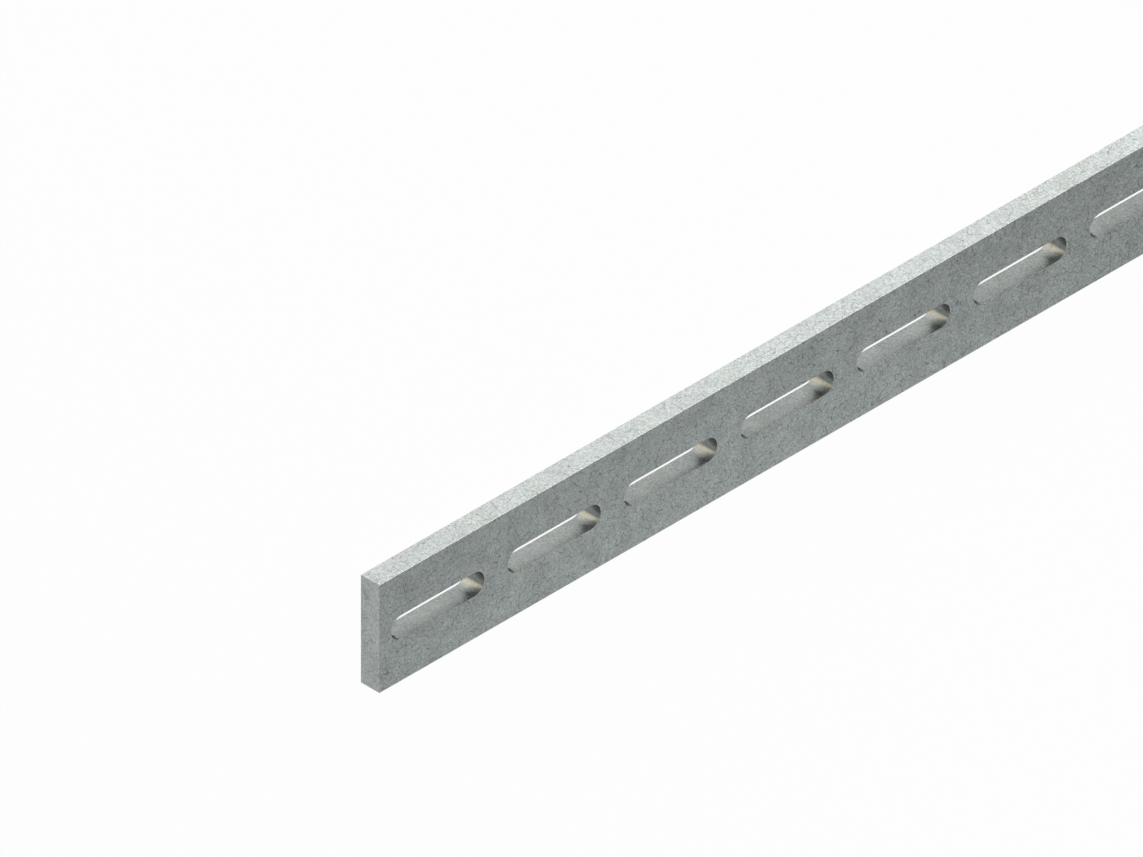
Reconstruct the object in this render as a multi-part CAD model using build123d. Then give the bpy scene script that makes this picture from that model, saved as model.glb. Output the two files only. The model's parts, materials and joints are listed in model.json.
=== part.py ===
from build123d import *

import os
from math import floor

# Flat bar that the strip is cut from
STRIP_LENGTH = 2000.0
STRIP_WIDTH = 40.0
STRIP_THICKNESS = 8.0
EDGE_RADIUS = 0.1

# Slots punched through the bar, end to end along its middle
SLOT_LENGTH = 40.0
SLOT_WIDTH = 8.7
BRIDGE = 10.0


def flat_bar() -> Part:
    """The bar before punching, lying on its broad face, with its long arrises just broken."""
    with BuildPart() as bar:
        with BuildSketch(Plane.YZ.offset(-STRIP_LENGTH / 2)):
            section = Rectangle(STRIP_WIDTH, STRIP_THICKNESS, align=(Align.CENTER, Align.MIN))
            fillet(section.vertices(), EDGE_RADIUS)
        extrude(amount=STRIP_LENGTH)
    return bar.part


def slot_count() -> int:
    """As many slots as the length holds, each with one bridge of steel beside it."""
    return floor(STRIP_LENGTH / (SLOT_LENGTH + BRIDGE))


def slot_cutters() -> Part:
    """The row of slots, centred on the bar, so that both ends keep the same margin."""
    with BuildPart() as cutters:
        with BuildSketch():
            with GridLocations(SLOT_LENGTH + BRIDGE, 0, slot_count(), 1):
                SlotOverall(SLOT_LENGTH, SLOT_WIDTH)
        extrude(amount=STRIP_THICKNESS)
    return cutters.part


def slotted_strip() -> Part:
    """One piece of galvanised flat bar with its slots cut right through."""
    return flat_bar() - slot_cutters()


os.makedirs("parts", exist_ok=True)
export_step(slotted_strip(), "parts/slotted_strip.step")
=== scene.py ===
"""Looks, floor, light and camera for a punched and hot-dip galvanised steel mounting strip.

The strip lies on its back face. Its length runs along X, its width along Y and its slotted
front face looks up along Z. All sizes are in metres unless a name says otherwise.
"""

import json
import logging
import math
from dataclasses import dataclass, field
from enum import Enum

import bpy
from mathutils import Matrix, Vector


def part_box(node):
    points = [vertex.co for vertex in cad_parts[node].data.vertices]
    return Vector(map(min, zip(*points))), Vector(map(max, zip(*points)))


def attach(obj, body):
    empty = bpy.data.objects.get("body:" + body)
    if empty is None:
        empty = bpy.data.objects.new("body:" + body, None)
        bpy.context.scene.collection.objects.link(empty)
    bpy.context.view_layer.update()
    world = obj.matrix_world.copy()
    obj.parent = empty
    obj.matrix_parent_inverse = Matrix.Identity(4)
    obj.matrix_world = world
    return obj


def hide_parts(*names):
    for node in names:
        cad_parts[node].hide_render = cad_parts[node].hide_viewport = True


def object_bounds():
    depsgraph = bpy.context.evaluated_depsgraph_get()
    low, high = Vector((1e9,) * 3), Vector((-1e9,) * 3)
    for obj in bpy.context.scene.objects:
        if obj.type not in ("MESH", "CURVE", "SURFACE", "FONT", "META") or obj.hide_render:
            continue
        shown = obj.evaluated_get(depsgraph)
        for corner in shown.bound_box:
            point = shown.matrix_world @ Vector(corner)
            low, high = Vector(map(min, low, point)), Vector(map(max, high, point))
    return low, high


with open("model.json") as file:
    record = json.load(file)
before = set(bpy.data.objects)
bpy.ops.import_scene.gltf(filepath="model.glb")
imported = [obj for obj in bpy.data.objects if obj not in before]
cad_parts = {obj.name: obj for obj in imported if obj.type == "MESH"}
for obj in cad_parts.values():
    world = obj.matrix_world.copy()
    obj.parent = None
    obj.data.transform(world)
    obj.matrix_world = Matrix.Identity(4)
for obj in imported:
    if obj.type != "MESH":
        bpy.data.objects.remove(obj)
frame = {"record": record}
CAD_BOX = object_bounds()
SLOT_ROW = next(m for m in frame["record"]["mounts"] if m["kind"] == "bolt_pattern")["dims"]

log = logging.getLogger("slotted_strip")

MM = 0.001
NODE_NAME = "slotted_strip"
BAKE_MAP = "OFBake"
SAME_PLACE = 0.0005 * MM
PARALLEL = 1e-9

# A noise lies mostly within the wide limits, and its middle part within the narrow ones
WIDE = (0.25, 0.75)
NARROW = (0.3, 0.7)

# These sockets share their names with others of their node, so they are known by number
MIX_A, MIX_B, MIX_RESULT = 6, 7, 2
VECTOR_FROM, VECTOR_TO = (7, 8), (9, 10)

# A colour or a share, as a node's socket or as one plain value for the whole surface
Shade = bpy.types.NodeSocket | tuple[float, ...] | float


class Surface(Enum):
    """The surfaces of the strip, by how each was made."""

    FACE = 0
    SIDE = 1
    END = 2
    WALL = 3


def linear(hex_colour: str) -> tuple[float, float, float, float]:
    """Turns an sRGB hex colour into linear light.

    Args:
        hex_colour: Six hex digits after a hash sign.

    Returns:
        Linear red, green and blue, and an alpha of one.
    """
    parts = [int(hex_colour[i:i + 2], 16) / 255 for i in (1, 3, 5)]
    red, green, blue = [p / 12.92 if p <= 0.04045 else ((p + 0.055) / 1.055) ** 2.4 for p in parts]
    return (red, green, blue, 1.0)


def add_node(tree: bpy.types.NodeTree, kind: str, settings: dict | None = None,
             links: dict | None = None) -> bpy.types.Node:
    """Adds one shader node.

    Args:
        tree: The node tree that takes the node.
        kind: The node's Blender type name.
        settings: Names and values of the node's own properties.
        links: Input names or numbers, each with a socket to link or a plain value.

    Returns:
        The new node.
    """
    node = tree.nodes.new(kind)
    for name, value in (settings or {}).items():
        setattr(node, name, value)
    for key, value in (links or {}).items():
        if isinstance(value, bpy.types.NodeSocket):
            tree.links.new(value, node.inputs[key])
        else:
            node.inputs[key].default_value = value
    return node


def empty_material(name: str) -> bpy.types.Material:
    """Makes a material with an empty node tree.

    Args:
        name: The material's name.

    Returns:
        The empty material.
    """
    material = bpy.data.materials.new(name)
    material.use_nodes = True
    material.node_tree.nodes.clear()
    return material


@dataclass(frozen=True)
class HotDipZinc:
    """Hot-dip galvanised zinc on rolled steel: a dull satin grey with fine dark crystal marks.

    Molten zinc froze on the steel as crystals about three millimetres wide, and its skin weathered
    to a thin matt patina. The eye gets a soft grey mottle, a fine speckle that strays between warm
    and cool, and short crooked olive lines along some of the crystals' borders. The real grain of
    the patina is near 0.1 mm and too fine to show, so the speckle is drawn coarser, at 0.6 mm.
    Each pattern's detail says how many finer ones are laid over it, and its decay how strong they
    stay.
    """

    name: str
    plane: str = "XY"
    ground: str = "#B2BAB8"
    mark: str = "#50533A"
    metal_share: float = 0.7
    roughness: float = 0.52
    roughness_spread: float = 0.08
    specular_level: float = 0.5
    mottle_mm: float = 9.0
    mottle_detail: float = 4.0
    mottle_decay: float = 0.6
    mottle_share: float = 0.11
    grain_mm: float = 0.6
    grain_detail: float = 3.0
    grain_decay: float = 0.65
    grain_share: float = 0.51
    tint_mm: float = 1.3
    tint_detail: float = 2.0
    tint_decay: float = 0.6
    tint_shares: tuple[float, float, float] = (0.075, 0.0, 0.06)
    crystal_mm: float = 3.0
    bends_per_crystal: float = 0.9
    bend_detail: float = 2.0
    bend_share: float = 1.2
    mark_mm: float = 0.17
    mark_run_mm: float = 2.7
    mark_run_detail: float = 1.5
    mark_run_limits: tuple[float, float] = (0.44, 0.58)
    mark_share: float = 0.74
    relief_mm: float = 0.006

    def build(self) -> bpy.types.Material:
        """Makes the material.

        Returns:
            The finished material.
        """
        material = empty_material(self.name)
        tree = material.node_tree
        place = add_node(tree, "ShaderNodeTexCoord")
        scaled = add_node(tree, "ShaderNodeVectorMath", {"operation": "SCALE"},
                          {0: place.outputs["Object"], "Scale": 1 / MM})
        where = scaled.outputs[0]
        ground, metal = self.add_ground(tree, where)
        marks = self.add_marks(tree, where)
        marked = add_node(tree, "ShaderNodeMix", {"data_type": "RGBA"},
                          {"Factor": marks, MIX_A: self.add_mottle(tree, where, ground),
                           MIX_B: linear(self.mark)})
        grain = add_node(tree, "ShaderNodeTexNoise", None,
                         {"Vector": where, "Scale": 1 / self.grain_mm,
                          "Detail": self.grain_detail, "Roughness": self.grain_decay})
        colour = self.add_tint(tree, where, self.add_grain(tree, grain, marked.outputs[MIX_RESULT]))
        height = add_node(tree, "ShaderNodeMath", {"operation": "SUBTRACT"},
                          {0: grain.outputs["Fac"], 1: marks})
        relief = add_node(tree, "ShaderNodeBump", None,
                          {"Height": height.outputs[0], "Distance": self.relief_mm * MM})
        shader = add_node(tree, "ShaderNodeBsdfPrincipled", None,
                          {"Base Color": colour, "Metallic": metal,
                           "Roughness": self.add_roughness(tree, grain, metal),
                           "Specular IOR Level": self.specular_level, "Normal": relief.outputs[0]})
        add_node(tree, "ShaderNodeOutputMaterial", None, {"Surface": shader.outputs[0]})
        return material

    def add_ground(self, tree: bpy.types.NodeTree,
                   where: bpy.types.NodeSocket) -> tuple[Shade, Shade]:
        """Gives the colour that the rest is drawn on, and the share of bare metal in it.

        Args:
            tree: The material's node tree, not used here.
            where: Place on the strip in millimetres, not used here.

        Returns:
            The ground colour and the metal's share, here the same all over.
        """
        return linear(self.ground)[:3], self.metal_share

    def add_mottle(self, tree: bpy.types.NodeTree, where: bpy.types.NodeSocket,
                   ground: Shade) -> bpy.types.NodeSocket:
        """Makes the ground colour softly paler and deeper in clouds.

        Args:
            tree: The material's node tree.
            where: Place on the strip in millimetres.
            ground: The colour to change.

        Returns:
            The clouded colour.
        """
        clouds = add_node(tree, "ShaderNodeTexNoise", None,
                          {"Vector": where, "Scale": 1 / self.mottle_mm,
                           "Detail": self.mottle_detail, "Roughness": self.mottle_decay})
        level = add_node(tree, "ShaderNodeMapRange", None,
                         {"Value": clouds.outputs["Fac"], "From Min": NARROW[0], "From Max": NARROW[1],
                          "To Min": 1 - self.mottle_share, "To Max": 1 + self.mottle_share})
        clouded = add_node(tree, "ShaderNodeVectorMath", {"operation": "SCALE"},
                           {0: ground, "Scale": level.outputs[0]})
        return clouded.outputs[0]

    def add_marks(self, tree: bpy.types.NodeTree, where: bpy.types.NodeSocket) -> bpy.types.NodeSocket:
        """Draws short crooked lines along some of the crystals' borders.

        The crystals are drawn in the surface's own plane, because a solid pattern would smear
        where a border runs level with the surface.

        Args:
            tree: The material's node tree.
            where: Place on the strip in millimetres.

        Returns:
            How strongly a line covers each place, from zero to the share of the strongest.
        """
        bend = add_node(tree, "ShaderNodeTexNoise", None,
                        {"Vector": where, "Scale": self.bends_per_crystal / self.crystal_mm,
                         "Detail": self.bend_detail})
        bent = add_node(tree, "ShaderNodeVectorMath", {"operation": "MULTIPLY_ADD"},
                        {0: bend.outputs["Color"], 1: (self.bend_share * self.crystal_mm,) * 3, 2: where})
        parts = add_node(tree, "ShaderNodeSeparateXYZ", None, {0: bent.outputs[0]})
        flat = add_node(tree, "ShaderNodeCombineXYZ", None,
                        {"X": parts.outputs[self.plane[0]], "Y": parts.outputs[self.plane[1]]})
        border = add_node(tree, "ShaderNodeTexVoronoi",
                          {"voronoi_dimensions": "2D", "feature": "DISTANCE_TO_EDGE"},
                          {"Vector": flat.outputs[0], "Scale": 1 / self.crystal_mm})
        line = add_node(tree, "ShaderNodeMapRange", {"interpolation_type": "SMOOTHSTEP"},
                        {"Value": border.outputs["Distance"], "From Min": 0.0,
                         "From Max": self.mark_mm / self.crystal_mm, "To Min": 1.0, "To Max": 0.0})
        patch = add_node(tree, "ShaderNodeTexNoise", None,
                         {"Vector": where, "Scale": 1 / self.mark_run_mm, "Detail": self.mark_run_detail})
        low, high = self.mark_run_limits
        kept = add_node(tree, "ShaderNodeMapRange", {"interpolation_type": "SMOOTHSTEP"},
                        {"Value": patch.outputs["Fac"], "From Min": low, "From Max": high,
                         "To Min": 0.0, "To Max": self.mark_share})
        share = add_node(tree, "ShaderNodeMath", {"operation": "MULTIPLY"},
                         {0: line.outputs[0], 1: kept.outputs[0]})
        return share.outputs[0]

    def add_grain(self, tree: bpy.types.NodeTree, grain: bpy.types.Node,
                  ground: bpy.types.NodeSocket) -> bpy.types.NodeSocket:
        """Lays a fine pale and dark speckle over a colour.

        Args:
            tree: The material's node tree.
            grain: The noise that the speckle follows.
            ground: The colour below the speckle.

        Returns:
            The colour with the speckle.
        """
        level = add_node(tree, "ShaderNodeMapRange", None,
                         {"Value": grain.outputs["Fac"], "From Min": WIDE[0], "From Max": WIDE[1],
                          "To Min": 1 - self.grain_share, "To Max": 1 + self.grain_share})
        speckled = add_node(tree, "ShaderNodeVectorMath", {"operation": "SCALE"},
                            {0: ground, "Scale": level.outputs[0]})
        return speckled.outputs[0]

    def add_tint(self, tree: bpy.types.NodeTree, where: bpy.types.NodeSocket,
                 ground: bpy.types.NodeSocket) -> bpy.types.NodeSocket:
        """Lets a colour stray between warm and cool, its red and its blue each by themselves.

        Args:
            tree: The material's node tree.
            where: Place on the strip in millimetres.
            ground: The colour to change.

        Returns:
            The tinted colour.
        """
        drift = add_node(tree, "ShaderNodeTexNoise", None,
                         {"Vector": where, "Scale": 1 / self.tint_mm,
                          "Detail": self.tint_detail, "Roughness": self.tint_decay})
        stray = add_node(tree, "ShaderNodeMapRange", {"data_type": "FLOAT_VECTOR"},
                         {"Vector": drift.outputs["Color"],
                          VECTOR_FROM[0]: (WIDE[0],) * 3, VECTOR_FROM[1]: (WIDE[1],) * 3,
                          VECTOR_TO[0]: tuple(1 - share for share in self.tint_shares),
                          VECTOR_TO[1]: tuple(1 + share for share in self.tint_shares)})
        tinted = add_node(tree, "ShaderNodeVectorMath", {"operation": "MULTIPLY"},
                          {0: ground, 1: stray.outputs["Vector"]})
        return tinted.outputs[0]

    def add_roughness(self, tree: bpy.types.NodeTree, grain: bpy.types.Node,
                      metal: Shade) -> bpy.types.NodeSocket:
        """Makes the paler grains a little rougher than the deeper ones.

        Args:
            tree: The material's node tree.
            grain: The noise that the speckle follows.
            metal: The share of bare metal, not used here.

        Returns:
            The roughness.
        """
        rough = add_node(tree, "ShaderNodeMapRange", None,
                         {"Value": grain.outputs["Fac"], "From Min": NARROW[0], "From Max": NARROW[1],
                          "To Min": self.roughness - self.roughness_spread,
                          "To Max": self.roughness + self.roughness_spread})
        return rough.outputs[0]


@dataclass(frozen=True)
class FaceZincWithPaintedShade(HotDipZinc):
    """The zinc on the broad faces, with painted shade that deepens its tone evenly towards the +Y edge.
    """

    # Painted shade: the ground is this share paler at the -Y edge and deeper at the +Y edge
    drift: float = 0.06

    def add_ground(self, tree: bpy.types.NodeTree,
                   where: bpy.types.NodeSocket) -> tuple[Shade, Shade]:
        """Gives the ground colour, deepened evenly across the bar's width by painted shade, and the
        metal's share.

        Args:
            tree: The material's node tree.
            where: Place on the strip in millimetres.

        Returns:
            The ground colour and the metal's share.
        """
        parts = add_node(tree, "ShaderNodeSeparateXYZ", None, {0: where})
        half = (CAD_BOX[1][1] - CAD_BOX[0][1]) / 2 / MM
        # Painted shade across the width, deeper towards +Y
        level = add_node(tree, "ShaderNodeMapRange", None,
                         {"Value": parts.outputs["Y"], "From Min": -half, "From Max": half,
                          "To Min": 1 + self.drift, "To Max": 1 - self.drift})
        shaded_ground = add_node(tree, "ShaderNodeVectorMath", {"operation": "SCALE"},
                           {0: linear(self.ground)[:3], "Scale": level.outputs[0]})
        return shaded_ground.outputs[0], self.metal_share


@dataclass(frozen=True)
class WallPatch:
    """A patch on the walls of a slot, with soft borders.

    Its two angles where it fades in and the two where it fades out are in degrees, as for
    WallZincWithPaintedSheenAndShade, and it fades in between two heights over the back face, towards the front rim. Its
    far border can slant away from the back face. Unless told otherwise, it reaches as far as a
    half turn and over the whole height.
    """

    colour: str
    fade_in_deg: tuple[float, float]
    fade_out_deg: tuple[float, float] = (181.0, 182.0)
    fade_in_mm: tuple[float, float] = (-2.0, -1.0)
    share: float = 1.0
    slant_deg_per_mm: float = 0.0

    def lay(self, tree: bpy.types.NodeTree, ground: bpy.types.NodeSocket, angle: bpy.types.NodeSocket,
            height: bpy.types.NodeSocket) -> tuple[bpy.types.NodeSocket, bpy.types.NodeSocket]:
        """Lays the patch over a colour.

        Args:
            tree: The material's node tree.
            ground: The colour below the patch.
            angle: The way that the wall lies, in degrees.
            height: The height over the back face in millimetres.

        Returns:
            The colour with the patch, and how much of each place the patch covers.
        """
        slanted = add_node(tree, "ShaderNodeMath", {"operation": "MULTIPLY_ADD"},
                           {0: height, 1: -self.slant_deg_per_mm, 2: angle}).outputs[0]
        fades = ((angle, self.fade_in_deg, True), (slanted, self.fade_out_deg, False),
                 (height, self.fade_in_mm, True))
        share: Shade = self.share
        for value, (start, stop), rises in fades:
            fade = add_node(tree, "ShaderNodeMapRange", {"interpolation_type": "SMOOTHSTEP"},
                            {"Value": value, "From Min": start, "From Max": stop,
                             "To Min": float(not rises), "To Max": float(rises)})
            share = add_node(tree, "ShaderNodeMath", {"operation": "MULTIPLY"},
                             {0: share, 1: fade.outputs[0]}).outputs[0]
        laid = add_node(tree, "ShaderNodeMix", {"data_type": "RGBA"},
                        {"Factor": share, MIX_A: ground, MIX_B: linear(self.colour)})
        return laid.outputs[MIX_RESULT], share


@dataclass(frozen=True)
class WallZincWithPaintedSheenAndShade(HotDipZinc):
    """The zinc on the punched walls: smoother and shinier than on the rolled faces.

    Punched steel is bright and even, so the thin coat on it mirrors softly. A painted reflection lies in
    one corner of each slot: a pale band with a straw edge, narrowing towards the front rim. Beside it
    painted shade darkens the wall, most of all near the front rim. So do a thin painted shade line along
    that rim and painted shade on the wall across, up to the far round end, which is back to the ground
    colour. A dark speck of painted shade lies in the opposite corner. It is matt and no metal, so it has
    no gloss.

    Angles say which way a wall lies from the middle of its slot's round end, in degrees from the strip's
    length. For the painted shades and the painted shade line they run on over the straight wall, as if it
    kept turning as sharply as the round end. The colours of the painted reflection and of the painted
    shade past it are placed by degrees from the reflection's edge.
    """

    ground: str = "#A1A6A3"
    metal_share: float = 1.0
    roughness: float = 0.3
    roughness_spread: float = 0.04
    specular_level: float = 0.0
    mottle_share: float = 0.12
    grain_share: float = 0.42
    mark_share: float = 0.3
    relief_mm: float = 0.003
    # Painted reflection: the angle of the pale band's edge, and how it narrows towards the front rim
    painted_sheen_edge_deg: float = -32.0
    painted_sheen_narrowing_per_mm: float = 0.03
    # Stops of the painted reflection's pale, straw-edged band, then painted shade past it and on the wall
    # across
    run: tuple[tuple[float, str], ...] = (
        (-48.0, "#A1A6A3"), (-36.0, "#B5BAB7"), (-26.0, "#C0C0B9"), (-17.0, "#CEC9B5"),
        (-10.0, "#C8C3AD"), (-3.0, "#B2AFA2"), (2.0, "#83847F"), (7.0, "#747876"),
        (32.0, "#7B7E7B"), (58.0, "#646765"))
    painted_sheen_span_deg: float = 60.0
    painted_sheen_middle_deg: float = -47.0
    painted_sheen_half_deg: float = 35.0
    painted_sheen_smoothness: float = 0.65
    # Painted shade: beside the painted reflection near the front rim, and along the -Y wall's front rim
    shade: WallPatch = WallPatch("#868983", (-150.0, -82.0), (-88.0, -66.0), (1.5, 5.0),
                                 share=0.69, slant_deg_per_mm=4.8)
    rim_shade: WallPatch = WallPatch("#888989", (-330.0, -190.0), (-165.0, -115.0), (4.0, 7.5),
                                     share=0.38)
    rim_shade_line: WallPatch = WallPatch("#888989", (-700.0, -600.0), (-165.0, -115.0), (6.4, 8.0),
                                    share=0.15)
    # Takes the far round end's +Y half back from painted shade to the ground colour
    bright_end: WallPatch = WallPatch("#A1A6A3", (92.0, 125.0))
    # Painted shade: a dark matt speck, no metal, in the -X end's -Y corner near the front rim
    corner_shade: WallPatch = WallPatch("#5A625F", (-142.0, -121.0), (-109.0, -90.0), (3.5, 5.5))

    def add_ground(self, tree: bpy.types.NodeTree,
                   where: bpy.types.NodeSocket) -> tuple[Shade, Shade]:
        """Gives the ground colour, with painted reflection and painted shade, and the metal's share by
        the way that the wall lies.

        Args:
            tree: The material's node tree.
            where: Place on the strip in millimetres.

        Returns:
            The ground colour and the metal's share.
        """
        angle = self.add_angle(tree)
        place = add_node(tree, "ShaderNodeSeparateXYZ", None, {0: where})
        height = place.outputs["Z"]
        turn = self.add_turn(tree, angle, place.outputs["X"])
        # Lays the painted reflection and the painted shade past it by the wall's angle from the band's
        # edge
        past = add_node(tree, "ShaderNodeMath", {"operation": "SUBTRACT"},
                        {0: angle, 1: self.painted_sheen_edge_deg})
        width = add_node(tree, "ShaderNodeMath", {"operation": "MULTIPLY_ADD"},
                         {0: height, 1: -self.painted_sheen_narrowing_per_mm, 2: 1 + self.painted_sheen_narrowing_per_mm})
        scaled = add_node(tree, "ShaderNodeMath", {"operation": "DIVIDE"},
                          {0: past.outputs[0], 1: width.outputs[0]})
        span = self.painted_sheen_span_deg
        spot = add_node(tree, "ShaderNodeMapRange", None,
                        {"Value": scaled.outputs[0], "From Min": -span, "From Max": span})
        ramp = add_node(tree, "ShaderNodeValToRGB", None, {0: spot.outputs[0]})
        stops = ramp.color_ramp.elements
        given = len(stops)
        for number, (degrees, hex_colour) in enumerate(self.run):
            position = 0.5 + degrees / (2 * span)
            stop = stops[number] if number < given else stops.new(position)
            stop.position, stop.color = position, linear(hex_colour)
        # Painted shade beside the painted reflection and along the front rim, then the far round end back
        # to the ground colour
        colour, _ = self.shade.lay(tree, ramp.outputs[0], turn, height)
        colour, _ = self.rim_shade.lay(tree, colour, turn, height)
        colour, _ = self.rim_shade_line.lay(tree, colour, turn, height)
        colour, _ = self.bright_end.lay(tree, colour, angle, height)
        # Painted shade speck, which also takes the metal away where it lies
        colour, corner_shade = self.corner_shade.lay(tree, colour, angle, height)
        metal = add_node(tree, "ShaderNodeMath", {"operation": "SUBTRACT"},
                         {0: self.metal_share, 1: corner_shade})
        return colour, metal.outputs[0]

    def add_angle(self, tree: bpy.types.NodeTree) -> bpy.types.NodeSocket:
        """Gives the way that the wall lies from the middle of its slot's round end.

        Args:
            tree: The material's node tree.

        Returns:
            The angle in degrees, from minus to plus a half turn.
        """
        place = add_node(tree, "ShaderNodeTexCoord")
        outward = add_node(tree, "ShaderNodeVectorMath", {"operation": "SCALE"},
                           {0: place.outputs["Normal"], "Scale": -1.0})
        parts = add_node(tree, "ShaderNodeSeparateXYZ", None, {0: outward.outputs[0]})
        radians = add_node(tree, "ShaderNodeMath", {"operation": "ARCTAN2"},
                           {0: parts.outputs["Y"], 1: parts.outputs["X"]})
        degrees = add_node(tree, "ShaderNodeMath", {"operation": "DEGREES"}, {0: radians.outputs[0]})
        return degrees.outputs[0]

    def add_turn(self, tree: bpy.types.NodeTree, angle: bpy.types.NodeSocket,
                 along: bpy.types.NodeSocket) -> bpy.types.NodeSocket:
        """Carries the angle of a slot's +X round end on over its straight walls.

        Args:
            tree: The material's node tree.
            angle: The way that the wall lies, in degrees.
            along: Place along the strip in millimetres.

        Returns:
            The angle, which runs on past a quarter turn by the length of straight wall.
        """
        pitch, radius = SLOT_ROW["spacing_x_mm"], SLOT_ROW["hole_r_mm"]
        reach = SLOT_ROW["slot_length_mm"] / 2 - radius
        first = CAD_BOX[0][0] / MM + pitch / 2
        from_first = add_node(tree, "ShaderNodeMath", {"operation": "SUBTRACT"}, {0: along, 1: first})
        from_middle = add_node(tree, "ShaderNodeMath", {"operation": "WRAP"},
                               {0: from_first.outputs[0], 1: pitch / 2, 2: -pitch / 2})
        straight = add_node(tree, "ShaderNodeMath", {"operation": "SUBTRACT"},
                            {0: reach, 1: from_middle.outputs[0]})
        before = add_node(tree, "ShaderNodeMath", {"operation": "MAXIMUM"},
                          {0: straight.outputs[0], 1: 0.0})
        extra = add_node(tree, "ShaderNodeMath", {"operation": "MULTIPLY"},
                         {0: before.outputs[0], 1: math.degrees(1 / radius)})
        side = add_node(tree, "ShaderNodeMath", {"operation": "SIGN"}, {0: angle})
        turn = add_node(tree, "ShaderNodeMath", {"operation": "MULTIPLY_ADD"},
                        {0: side.outputs[0], 1: extra.outputs[0], 2: angle})
        return turn.outputs[0]

    def add_grain(self, tree: bpy.types.NodeTree, grain: bpy.types.Node,
                  ground: bpy.types.NodeSocket) -> bpy.types.NodeSocket:
        """Lays the speckle over a colour, weaker on the painted reflection, where the zinc is drawn
        smoother.

        Args:
            tree: The material's node tree.
            grain: The noise that the speckle follows.
            ground: The colour below the speckle.

        Returns:
            The colour with the speckle.
        """
        angle = self.add_angle(tree)
        off_middle = add_node(tree, "ShaderNodeMath", {"operation": "SUBTRACT"},
                              {0: angle, 1: self.painted_sheen_middle_deg})
        away = add_node(tree, "ShaderNodeMath", {"operation": "ABSOLUTE"}, {0: off_middle.outputs[0]})
        smooth = add_node(tree, "ShaderNodeMapRange", {"interpolation_type": "SMOOTHSTEP"},
                          {"Value": away.outputs[0], "From Min": 0.0, "From Max": self.painted_sheen_half_deg,
                           "To Min": self.painted_sheen_smoothness, "To Max": 0.0})
        speckled = super().add_grain(tree, grain, ground)
        mixed = add_node(tree, "ShaderNodeMix", {"data_type": "RGBA"},
                         {"Factor": smooth.outputs[0], MIX_A: speckled, MIX_B: ground})
        return mixed.outputs[MIX_RESULT]

    def add_roughness(self, tree: bpy.types.NodeTree, grain: bpy.types.Node,
                      metal: Shade) -> bpy.types.NodeSocket:
        """Makes the painted corner shade, which isn't metal, fully rough.

        Args:
            tree: The material's node tree.
            grain: The noise that the speckle follows.
            metal: The share of bare metal.

        Returns:
            The roughness.
        """
        dull = add_node(tree, "ShaderNodeMath", {"operation": "SUBTRACT"},
                        {0: self.metal_share, 1: metal})
        rough = add_node(tree, "ShaderNodeMath", {"operation": "MAXIMUM"},
                         {0: super().add_roughness(tree, grain, metal), 1: dull.outputs[0]})
        return rough.outputs[0]


@dataclass
class VertexPool:
    """Points of a mesh, each kept once, with the true surface direction at each."""

    points: list[Vector] = field(default_factory=list)
    normals: list[Vector] = field(default_factory=list)
    seen: dict[tuple[int, int, int], int] = field(default_factory=dict)

    def add(self, point: Vector, normal: Vector) -> int:
        """Gives the number of a point, adding it if it is new.

        Args:
            point: Where the point lies.
            normal: The outward direction of the surface there.

        Returns:
            The point's number in the mesh.
        """
        key = tuple(round(c / SAME_PLACE) for c in point)
        if key not in self.seen:
            self.seen[key] = len(self.points)
            self.points.append(point)
            self.normals.append(normal.normalized())
        return self.seen[key]


@dataclass
class TextureSheet:
    """One square texture that takes every surface of the strip laid flat, all at one scale.

    The patches stand side by side on shelves, each shelf above the one before.
    """

    pixels: float = 1024.0
    px_per_metre: float = 2000.0
    gap: float = 4.0
    corners: dict[tuple[int, ...], tuple[float, float]] = field(default_factory=dict)
    left: float = field(init=False)
    low: float = field(init=False)
    top: float = field(init=False)

    def __post_init__(self) -> None:
        """Starts the first shelf in the lower left corner."""
        self.left = self.low = self.top = self.gap

    def place(self, patch: tuple[int, ...], width: float, height: float,
              spots: list[tuple[float, float]]) -> list[tuple[float, float]]:
        """Finds where points of a patch lie on the sheet, and makes room for the patch if it is new.

        Args:
            patch: The patch's own number.
            width: The patch's width in metres.
            height: The patch's height in metres.
            spots: Points in metres from the patch's lower left corner.

        Returns:
            The points as shares of the sheet's sides.
        """
        scale = self.px_per_metre
        if patch not in self.corners:
            if self.left + width * scale + self.gap > self.pixels:
                self.left, self.low = self.gap, self.top + self.gap
            self.corners[patch] = (self.left, self.low)
            self.left += width * scale + self.gap
            self.top = self.low + height * scale
        left, low = self.corners[patch]
        return [((left + along * scale) / self.pixels, (low + up * scale) / self.pixels)
                for along, up in spots]


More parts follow.
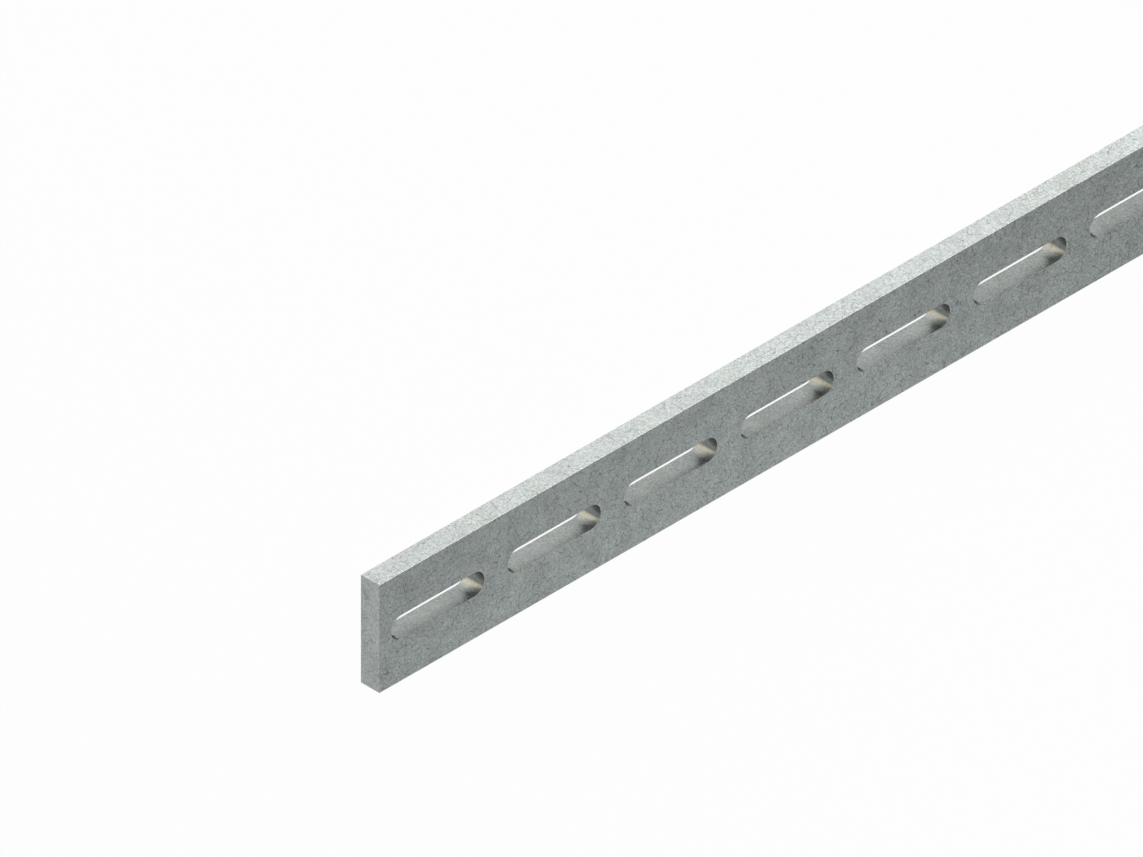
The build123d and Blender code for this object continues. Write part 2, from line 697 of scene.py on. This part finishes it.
@dataclass
class SlottedStrip:
    """One length of flat bar with a row of slots, as a fine mesh with softly rounded rims.

    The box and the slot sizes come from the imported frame.
    """

    low: Vector
    high: Vector
    slot_length: float
    slot_width: float
    pitch: float
    edge_radius: float = 0.1 * MM
    rim_radius: float = 0.01 * MM
    end_break: float = 0.03 * MM
    quarter_steps: int = 16
    round_steps: int = 3
    straight_steps: int = 8
    slots_in_stretch: int = 10
    count: int = field(init=False)
    reach: float = field(init=False)
    radius: float = field(init=False)
    half_width: float = field(init=False)
    flat_y: float = field(init=False)
    pool: VertexPool = field(default_factory=VertexPool, init=False)
    faces: list[tuple[int, ...]] = field(default_factory=list, init=False)
    surfaces: list[Surface] = field(default_factory=list, init=False)

    def __post_init__(self) -> None:
        """Works out the sizes that follow from the driving ones."""
        self.count = round((self.high.x - self.low.x) / self.pitch)
        self.reach = (self.slot_length - self.slot_width) / 2
        self.radius = self.slot_width / 2
        self.half_width = (self.high.y - self.low.y) / 2
        self.flat_y = self.half_width - self.edge_radius

    def add_face(self, corners: list[int], surface: Surface) -> None:
        """Adds one face, leaving out repeated corners.

        Args:
            corners: The corners' numbers, anticlockwise from outside.
            surface: The surface that the face is part of.
        """
        kept = [c for i, c in enumerate(corners) if c != corners[i - 1]]
        if len(kept) > 2:
            self.faces.append(tuple(kept))
            self.surfaces.append(surface)

    def outline(self) -> list[tuple[float, float, float]]:
        """Walks round a slot, anticlockwise from above.

        Returns:
            Rows of X on the slot's middle line and the outward direction's X and Y.
        """
        rows = []
        for side in (1, -1):
            for step in range(2 * self.quarter_steps + 1):
                angle = math.pi / 2 * (step / self.quarter_steps - side)
                rows.append((side * self.reach, math.cos(angle), math.sin(angle)))
            for step in range(1, self.straight_steps):
                x = side * self.reach * (1 - 2 * step / self.straight_steps)
                rows.append((x, 0.0, float(side)))
        return rows

    def border(self, rows: list[tuple[float, float, float]], half_x: tuple[float, float]
               ) -> list[tuple[float, float]]:
        """Finds where each direction of a slot's outline meets the edge of its share of the flat face.

        Args:
            rows: The outline's rows.
            half_x: How far the flat reaches from the slot's centre towards -X and +X.

        Returns:
            X and Y of each point on the border, with the four corners among them.
        """
        points = []
        for x, dx, dy in rows:
            limit = half_x[1] if dx > 0 else half_x[0]
            run_x = (limit - abs(x)) / abs(dx) if abs(dx) > PARALLEL else math.inf
            run_y = self.flat_y / abs(dy) if abs(dy) > PARALLEL else math.inf
            run = min(run_x, run_y)
            points.append((x + dx * run, dy * run))
        for sx in (1, -1):
            for sy in (1, -1):
                corner = (half_x[1] if sx > 0 else -half_x[0], sy * self.flat_y)
                nearest = min(range(len(points)), key=lambda i: math.dist(points[i], corner))
                points[nearest] = corner
        return points

    def rim_rings(self) -> list[tuple[float, float, float, float, Surface]]:
        """Lists the rings of points that run round a slot, from the front face to the back face.

        Returns:
            Rows of the distance from the wall into the steel, Z, the normal's share across
            the wall, the normal's Z, and the surface between this ring and the one before.
        """
        turns = [step / self.round_steps * math.pi / 2 for step in range(self.round_steps + 1)]
        r = self.rim_radius
        front = [(r - r * math.sin(t), self.high.z - r + r * math.cos(t), math.sin(t), math.cos(t),
                  Surface.FACE) for t in turns]
        back = [(inset, self.low.z + self.high.z - z, across, -up, Surface.FACE)
                for inset, z, across, up, _ in reversed(front)]
        back[0] = back[0][:4] + (Surface.WALL,)
        return front + back

    def add_slot(self, centre: float, half_x: tuple[float, float]) -> None:
        """Adds one slot with the flat steel round it.

        Args:
            centre: X of the slot's centre.
            half_x: How far the flat reaches from there towards -X and +X.
        """
        rows = self.outline()
        border = self.border(rows, half_x)
        up, down = Vector((0, 0, 1)), Vector((0, 0, -1))
        front = [self.pool.add(Vector((centre + x, y, self.high.z)), up) for x, y in border]
        back = [self.pool.add(Vector((centre + x, y, self.low.z)), down) for x, y in border]
        rings, surfaces = [front], [Surface.FACE]
        for inset, z, across, rise, surface in self.rim_rings():
            out = self.radius + inset
            rings.append([self.pool.add(Vector((centre + x + dx * out, dy * out, z)),
                                        Vector((-dx * across, -dy * across, rise)))
                          for x, dx, dy in rows])
            surfaces.append(surface)
        rings.append(back)
        surfaces.append(Surface.FACE)
        for k in range(1, len(rings)):
            outer, inner = rings[k - 1], rings[k]
            for i in range(len(rows)):
                j = (i + 1) % len(rows)
                self.add_face([outer[i], outer[j], inner[j], inner[i]], surfaces[k])

    def edge_profile(self) -> list[tuple[float, float, float, float]]:
        """Lists the points over a long edge of the bar, from the front face to the back face.

        Returns:
            Rows of distance outward from the flat's border, Z, and the normal's outward share and Z.
        """
        turns = [step / self.round_steps * math.pi / 2 for step in range(self.round_steps + 1)]
        r = self.edge_radius
        front = [(r * math.sin(t), self.high.z - r + r * math.cos(t), math.sin(t), math.cos(t))
                 for t in turns]
        back = [(out, self.low.z + self.high.z - z, across, -rise)
                for out, z, across, rise in reversed(front)]
        return front + back

    def add_long_sides(self, stations: list[float]) -> None:
        """Adds both narrow sides with their rounded arrises.

        Args:
            stations: X of each line of points along the bar.
        """
        for side in (1, -1):
            lines = []
            for out, z, across, rise in self.edge_profile():
                normal = Vector((0, side * across, rise))
                lines.append([self.pool.add(Vector((x, side * (self.flat_y + out), z)), normal)
                              for x in stations])
            for upper, lower in zip(lines, lines[1:]):
                for i in range(len(stations) - 1):
                    quad = [upper[i], lower[i], lower[i + 1], upper[i + 1]]
                    self.add_face(quad if side < 0 else quad[::-1], Surface.SIDE)

    def section(self, x: float, inset: float, flat_ys: list[float]) -> list[Vector]:
        """Walks round the bar's cross-section.

        Args:
            x: Where the section is taken.
            inset: How far the outline is drawn in.
            flat_ys: Y of the points on the flats, from low to high.

        Returns:
            The outline's points.
        """
        middle = (self.low.z + self.high.z) / 2
        scale_y = 1 - inset / self.half_width
        scale_z = 1 - inset / (self.high.z - middle)
        front = [(y, self.high.z) for y in flat_ys]
        right = [(self.flat_y + out, z) for out, z, _, _ in self.edge_profile()[1:-1]]
        back = [(y, self.low.z) for y in reversed(flat_ys)]
        left = [(-y, z) for y, z in reversed(right)]
        return [Vector((x, y * scale_y, middle + (z - middle) * scale_z))
                for y, z in front + right + back + left]

    def add_end(self, side: int, flat_ys: list[float]) -> None:
        """Adds one cut end with its edge just broken.

        Args:
            side: 1 for the +X end and -1 for the -X end.
            flat_ys: Y of the points on the flats, from low to high.
        """
        end = self.high.x if side > 0 else self.low.x
        outward = Vector((side, 0, 0))
        ring = [self.pool.add(p, outward) for p in self.section(end - side * self.end_break, 0, flat_ys)]
        cap = [self.pool.add(p, outward) for p in self.section(end, self.end_break, flat_ys)]
        for i in range(len(ring)):
            j = (i + 1) % len(ring)
            quad = [ring[i], ring[j], cap[j], cap[i]]
            self.add_face(quad if side < 0 else quad[::-1], Surface.END)
        self.add_face(cap if side < 0 else cap[::-1], Surface.END)

    def walked(self, x: float) -> float:
        """Measures along a slot's wall, from the -X tip of the slot to a point of either half.

        Args:
            x: X of the point from the slot's centre.

        Returns:
            The length of wall between them.
        """
        into_round = min(max(abs(x) - self.reach, 0.0) / self.radius, 1.0)
        from_middle = min(abs(x), self.reach) + self.radius * math.asin(into_round)
        return math.pi / 2 * self.radius + self.reach + math.copysign(from_middle, x)

    def flatten(self, points: list[Vector], surface: Surface
                ) -> tuple[tuple[int, ...], float, float, list[tuple[float, float]]]:
        """Lays one face flat, as it is seen from outside.

        The broad faces and narrow sides are cut at the middles of bridges into stretches, and
        each slot's wall at its tips into two halves.

        Args:
            points: The face's corners.
            surface: The surface that the face is part of.

        Returns:
            The number, width and height of the face's patch, and the corners on the patch.
        """
        middle = sum(points, Vector()) / len(points)
        slot = round(middle.x / self.pitch + (self.count - 1) / 2)
        centre = (slot - (self.count - 1) / 2) * self.pitch
        stretch = slot // self.slots_in_stretch
        start = centre - (slot % self.slots_in_stretch + 0.5) * self.pitch
        length = self.slots_in_stretch * self.pitch
        size = self.high - self.low
        if surface is Surface.FACE:
            turned, part, width, height = middle.z < size.z / 2, stretch, length, size.y
            spots = [(p.x - start, p.y - self.low.y) for p in points]
        elif surface is Surface.SIDE:
            turned, part, width, height = middle.y > 0, stretch, length, size.z
            spots = [(p.x - start, p.z - self.low.z) for p in points]
        elif surface is Surface.END:
            turned, part, width, height = middle.x < 0, 0, size.y, size.z
            spots = [(p.y - self.low.y, p.z - self.low.z) for p in points]
        else:
            turned, part, width, height = middle.y < 0, slot, self.walked(self.slot_length / 2), size.z
            spots = [(self.walked(p.x - centre), p.z - self.low.z) for p in points]
        if turned:
            spots = [(width - along, up) for along, up in spots]
        return (surface.value, int(turned), part), width, height, spots

    def add_texture_map(self, mesh: bpy.types.Mesh) -> None:
        """Gives the mesh a texture map in which every surface has the same fine scale.

        Args:
            mesh: The strip's mesh, with its faces dressed.
        """
        sheet = TextureSheet()
        layer = mesh.uv_layers.new(name=BAKE_MAP)
        for polygon in sorted(mesh.polygons, key=lambda p: p.material_index):
            points = [self.pool.points[number] for number in polygon.vertices]
            spots = sheet.place(*self.flatten(points, Surface(polygon.material_index)))
            for loop, spot in zip(polygon.loop_indices, spots):
                layer.data[loop].uv = spot

    def add_steel(self) -> None:
        """Adds every slot, and then the sides and ends, which share the slots' outer points."""
        for i in range(self.count):
            centre = (i - (self.count - 1) / 2) * self.pitch
            half_x = (centre - self.low.x - self.end_break if i == 0 else self.pitch / 2,
                      self.high.x - centre - self.end_break if i == self.count - 1 else self.pitch / 2)
            self.add_slot(centre, half_x)
        flat = [p for p in self.pool.points if abs(p.z - self.high.z) < SAME_PLACE]
        ends = {side: {p.y for p in flat if side * p.x > self.high.x - self.end_break - SAME_PLACE}
                for side in (1, -1)}
        self.add_long_sides(sorted({p.x for p in flat if abs(p.y) > self.flat_y - SAME_PLACE}))
        for side, ys in ends.items():
            self.add_end(side, sorted(ys))

    def build(self, materials: dict[Surface, bpy.types.Material]) -> bpy.types.Object:
        """Makes the strip's mesh and dresses it.

        Args:
            materials: The material of each kind of surface.

        Returns:
            The strip.
        """
        self.add_steel()
        mesh = bpy.data.meshes.new(NODE_NAME + "_galvanised")
        mesh.from_pydata(self.pool.points, [], self.faces)
        for surface in Surface:
            mesh.materials.append(materials[surface])
        for polygon, surface in zip(mesh.polygons, self.surfaces):
            polygon.material_index = surface.value
            polygon.use_smooth = True
        mesh.normals_split_custom_set_from_vertices(self.pool.normals)
        self.add_texture_map(mesh)
        strip = bpy.data.objects.new("galvanised_strip", mesh)
        bpy.context.scene.collection.objects.link(strip)
        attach(strip, "root")
        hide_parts(NODE_NAME)
        log.info("galvanised_strip: %d slots, %d faces", self.count, len(mesh.polygons))
        return strip


@dataclass(frozen=True)
class PictureCamera:
    """The parallel camera that shows the strip as the picture does.

    The picture is a parallel view along a corner of the strip's box, with the strip's width
    upright in it. The strip's near front corner is a known point of the picture.
    """

    width_px: float = 1143.0
    height_px: float = 857.0
    corner_px: tuple[float, float] = (379.47, 585.40)
    px_per_metre: float = 3293.7
    tilt_deg: float = 35.1
    distance: float = 1.5

    def build(self, corner: Vector) -> bpy.types.Object:
        """Makes the camera and gives it to the scene.

        Args:
            corner: The strip's front corner that is a known point of the picture.

        Returns:
            The camera.
        """
        tilt = math.radians(self.tilt_deg)
        right = Vector((1, 0, 1)).normalized()
        back = Vector((-1, 0, 1)).normalized() * math.cos(tilt) + Vector((0, 1, 0)) * math.sin(tilt)
        up = back.cross(right)
        aside = (self.width_px / 2 - self.corner_px[0]) / self.px_per_metre
        above = (self.corner_px[1] - self.height_px / 2) / self.px_per_metre
        centre = corner + right * aside + up * above
        data = bpy.data.cameras.new("picture_camera")
        data.type = "ORTHO"
        data.ortho_scale = self.width_px / self.px_per_metre
        camera = bpy.data.objects.new("picture_camera", data)
        turn = Matrix((right, up, back)).transposed().to_4x4()
        camera.matrix_world = Matrix.Translation(centre + back * self.distance) @ turn
        bpy.context.scene.collection.objects.link(camera)
        bpy.context.scene.camera = camera
        return camera


@dataclass(frozen=True)
class Lamp:
    """A soft square lamp."""

    name: str
    place: tuple[float, float, float]
    aim: tuple[float, float, float]
    size: float
    watts: float

    def build(self) -> bpy.types.Object:
        """Hangs the lamp.

        Returns:
            The lamp.
        """
        data = bpy.data.lights.new(self.name, "AREA")
        data.size = self.size
        data.energy = self.watts
        lamp = bpy.data.objects.new(self.name, data)
        lamp.location = self.place
        lamp.rotation_euler = (Vector(self.aim) - lamp.location).to_track_quat("-Z", "Y").to_euler()
        bpy.context.scene.collection.objects.link(lamp)
        return lamp


@dataclass(frozen=True)
class Studio:
    """A plain pale floor, soft lamps and an even sky.

    Rays that see the floor get mostly an even white, and the rest of it takes the shadow.
    """

    floor_half: float = 20.0
    floor_colour: str = "#F2F2F2"
    white_share: float = 0.97
    white_strength: float = 1.0
    sky_colour: str = "#FFFFFF"
    sky_strength: float = 0.395
    lamps: tuple[Lamp, ...] = (
        Lamp("low_key", (-0.2, 1.4, 0.25), (-0.8, 0.0, 0.0), 0.5, 26.9),
        Lamp("near_fill", (-0.65, -0.27, 0.27), (-0.9, 0.0, 0.0), 0.2, 0.08),
        Lamp("end_fill", (-2.2, 0.3, 0.5), (-0.9, 0.0, 0.0), 1.0, 0.7))

    def white_for_sight(self, tree: bpy.types.NodeTree) -> bpy.types.NodeSocket:
        """Tells the rays that see the floor from those that it lights.

        Args:
            tree: The node tree of the floor's material.

        Returns:
            One where a ray comes from the camera, a glossy surface or clear glass, otherwise zero.
        """
        path = add_node(tree, "ShaderNodeLightPath")
        first = add_node(tree, "ShaderNodeMath", {"operation": "MAXIMUM"},
                         {0: path.outputs["Is Camera Ray"], 1: path.outputs["Is Glossy Ray"]})
        second = add_node(tree, "ShaderNodeMath", {"operation": "MAXIMUM"},
                          {0: first.outputs[0], 1: path.outputs["Is Transmission Ray"]})
        return second.outputs[0]

    def build_floor(self, level: float) -> bpy.types.Object:
        """Makes the floor.

        Args:
            level: Z of the floor.

        Returns:
            The floor.
        """
        half = self.floor_half
        mesh = bpy.data.meshes.new("floor")
        mesh.from_pydata([(-half, -half, level), (half, -half, level), (half, half, level),
                          (-half, half, level)], [], [(0, 1, 2, 3)])
        material = empty_material("pale_floor")
        tree = material.node_tree
        seen = self.white_for_sight(tree)
        share = add_node(tree, "ShaderNodeMath", {"operation": "MULTIPLY"},
                         {0: seen, 1: self.white_share})
        matt = add_node(tree, "ShaderNodeBsdfDiffuse", None, {"Color": linear(self.floor_colour)})
        white = add_node(tree, "ShaderNodeEmission", None, {"Strength": self.white_strength})
        mixed = add_node(tree, "ShaderNodeMixShader", None,
                         {0: share.outputs[0], 1: matt.outputs[0], 2: white.outputs[0]})
        add_node(tree, "ShaderNodeOutputMaterial", None, {"Surface": mixed.outputs[0]})
        mesh.materials.append(material)
        floor = bpy.data.objects.new("floor", mesh)
        bpy.context.scene.collection.objects.link(floor)
        return floor

    def build_sky(self) -> None:
        """Lights the scene evenly from all round."""
        world = bpy.data.worlds.new("even_sky")
        bpy.context.scene.world = world
        world.use_nodes = True
        tree = world.node_tree
        tree.nodes.clear()
        even = add_node(tree, "ShaderNodeBackground", None,
                        {"Color": linear(self.sky_colour), "Strength": self.sky_strength})
        add_node(tree, "ShaderNodeOutputWorld", None, {"Surface": even.outputs[0]})


def main() -> None:
    """Builds the strip, its studio and its camera, in that order."""
    logging.basicConfig(level=logging.INFO)
    scene = bpy.context.scene
    scene.view_settings.view_transform = "Standard"
    low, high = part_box(NODE_NAME)
    strip = SlottedStrip(low, high, SLOT_ROW["slot_length_mm"] * MM, 2 * SLOT_ROW["hole_r_mm"] * MM,
                         SLOT_ROW["spacing_x_mm"] * MM)
    zinc = {
        Surface.FACE: FaceZincWithPaintedShade("hot_dip_zinc_and_painted_shade_on_broad_faces"),
        Surface.SIDE: HotDipZinc("hot_dip_zinc_on_narrow_sides", plane="XZ", ground="#B3B8B6",
                                 mark="#71745A", mottle_share=0.07, grain_share=0.35,
                                 tint_shares=(0.057, 0.0, 0.045), mark_share=0.7),
        # The ends held their heat longer, so their crystals grew larger and their lines wider
        Surface.END: HotDipZinc("hot_dip_zinc_on_cut_ends", plane="YZ", ground="#B1B7B6",
                                mottle_share=0.08, grain_share=0.44, tint_shares=(0.06, 0.0, 0.06),
                                crystal_mm=4.0, mark_mm=0.27, mark_run_mm=4.0, mark_share=0.42),
        Surface.WALL: WallZincWithPaintedSheenAndShade("hot_dip_zinc_and_painted_sheen_on_punched_walls", plane="XZ")}
    strip.build({surface: finish.build() for surface, finish in zinc.items()})
    studio = Studio()
    studio.build_floor(low.z)
    studio.build_sky()
    for lamp in studio.lamps:
        lamp.build()
    PictureCamera().build(Vector((low.x, high.y, high.z)))


if __name__ == "__main__":
    main()
